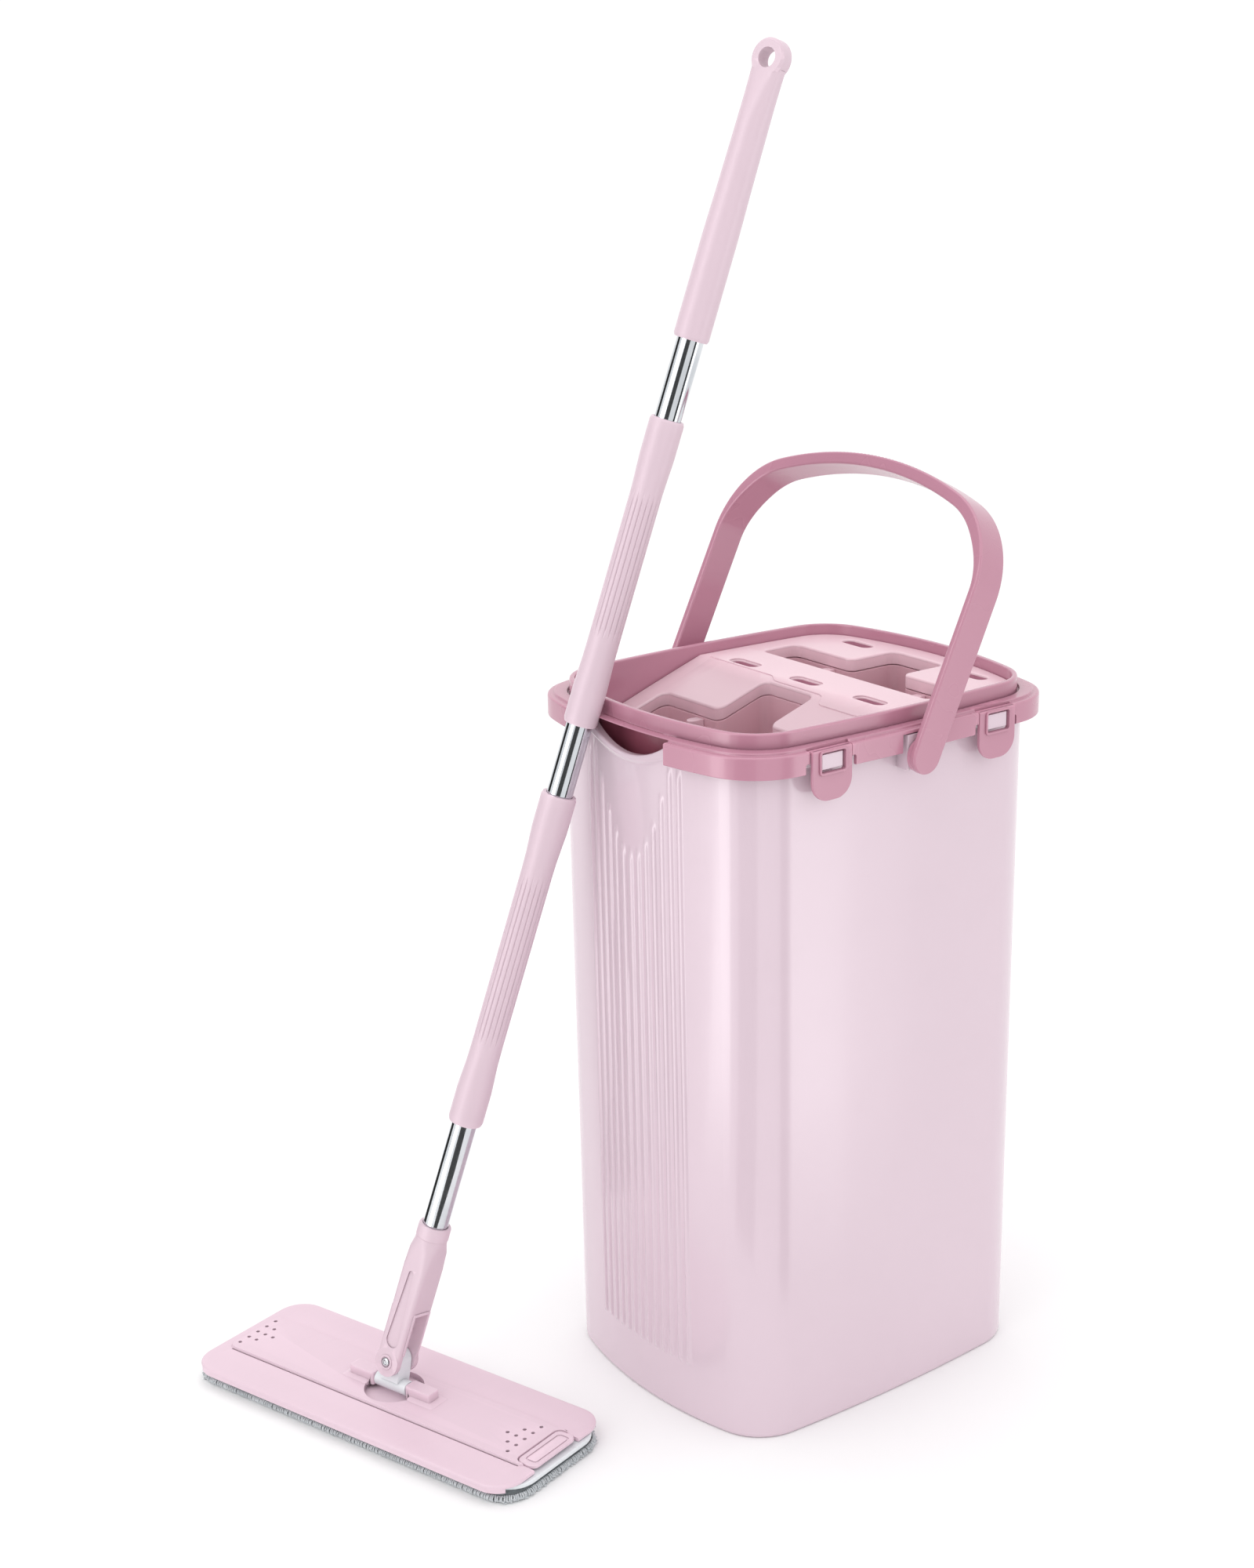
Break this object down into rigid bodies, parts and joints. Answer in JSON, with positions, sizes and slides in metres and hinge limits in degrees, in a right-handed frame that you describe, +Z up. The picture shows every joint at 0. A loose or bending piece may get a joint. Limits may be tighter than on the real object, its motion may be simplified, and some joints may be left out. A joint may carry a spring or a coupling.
{
  "type": "flat mop and bucket set",
  "caption": "Flat mop with a jointed head leaning on a tall wash-and-dry bucket with slots, pouring spout and swinging bail",
  "frame": {"origin": "centre of the bucket's underside, on the floor", "axes": "+Z up, -X towards the pouring spout and the leaning mop, -Y towards the long side seen from the front"},
  "size_m": [0.477, 0.3486, 0.8335],
  "materials": {
    "bucket_plastic": "glossy pale pink moulded plastic",
    "frame_plastic": "satin dusty rose moulded plastic",
    "plate_plastic": "satin light pink moulded plastic",
    "well_plastic": "satin deep rose moulded plastic",
    "mop_plastic": "satin pale pink moulded plastic",
    "white_plastic": "white moulded plastic",
    "tube_chrome": "polished chrome-plated tube",
    "pin_steel": "bright steel pin",
    "pad_fabric": "grey looped microfibre"
  },
  "bodies": {
    "bucket": {"bucket_shell": "bucket_plastic", "splash_frame": "frame_plastic", "insert_plate": "plate_plastic", "wash_well": "well_plastic", "dry_well": "well_plastic", "wash_scraper_left": "plate_plastic", "wash_scraper_right": "plate_plastic", "dry_scraper_left": "plate_plastic", "dry_scraper_right": "plate_plastic"},
    "tab_front_spout": {"clip_tab_front_spout": "frame_plastic"},
    "tab_front_far": {"clip_tab_front_far": "frame_plastic"},
    "tab_rear_spout": {"clip_tab_rear_spout": "frame_plastic"},
    "tab_rear_far": {"clip_tab_rear_far": "frame_plastic"},
    "bail": {"bail_handle": "frame_plastic"},
    "mop_head": {"microfibre_pad": "pad_fabric", "backing_plate": "white_plastic", "head_plate": "mop_plastic", "yoke_axle": "pin_steel"},
    "release_tab": {"release_tab": "mop_plastic"},
    "yoke": {"yoke": "white_plastic"},
    "pole": {"pole_socket": "mop_plastic", "pole_pin": "pin_steel", "tube_lower": "tube_chrome", "tube_middle": "tube_chrome", "tube_upper": "tube_chrome", "coupler_lower": "white_plastic", "coupler_upper": "white_plastic", "sleeve_lower": "mop_plastic", "sleeve_upper": "mop_plastic", "grip": "mop_plastic"}
  },
  "joints": [
    {"name": "clip_front_spout", "type": "hinge", "parent": "bucket", "child": "tab_front_spout", "pos_m": [-0.066, -0.11235, 0.4442], "axis": [-1, 0, 0], "range_deg": [0, 8], "stiffness_Nm_per_rad": 0.05},
    {"name": "clip_front_far", "type": "hinge", "parent": "bucket", "child": "tab_front_far", "pos_m": [0.066, -0.11235, 0.4442], "axis": [-1, 0, 0], "range_deg": [0, 8], "stiffness_Nm_per_rad": 0.05},
    {"name": "clip_rear_spout", "type": "hinge", "parent": "bucket", "child": "tab_rear_spout", "pos_m": [-0.066, 0.11235, 0.4442], "axis": [1, 0, 0], "range_deg": [0, 8], "stiffness_Nm_per_rad": 0.05},
    {"name": "clip_rear_far", "type": "hinge", "parent": "bucket", "child": "tab_rear_far", "pos_m": [0.066, 0.11235, 0.4442], "axis": [1, 0, 0], "range_deg": [0, 8], "stiffness_Nm_per_rad": 0.05},
    {"name": "bail_swing", "type": "hinge", "parent": "bucket", "child": "bail", "pos_m": [0, 0, 0.4296], "axis": [0, 1, 0], "range_deg": [-44, 64]},
    {"name": "mop_lift", "type": "slide", "parent": "bucket", "child": "mop_head", "axis": [0, 0, 1], "range_m": [0, 0.65]},
    {"name": "yoke_roll", "type": "hinge", "parent": "mop_head", "child": "yoke", "pos_m": [-0.25875, 0.0857, 0.0176], "axis": [-0.2756, 0.9613, 0], "range_deg": [-52, 0]},
    {"name": "pole_pitch", "type": "hinge", "parent": "yoke", "child": "pole", "pos_m": [-0.25529, 0.08669, 0.03299], "axis": [0.9361, 0.2684, -0.2275], "range_deg": [-101.4, 0]},
    {"name": "tab_press", "type": "hinge", "parent": "mop_head", "child": "release_tab", "pos_m": [-0.22635, -0.0273, 0.0134], "axis": [0.9613, 0.2756, 0], "range_deg": [0, 5], "stiffness_Nm_per_rad": 0.05}
  ]
}
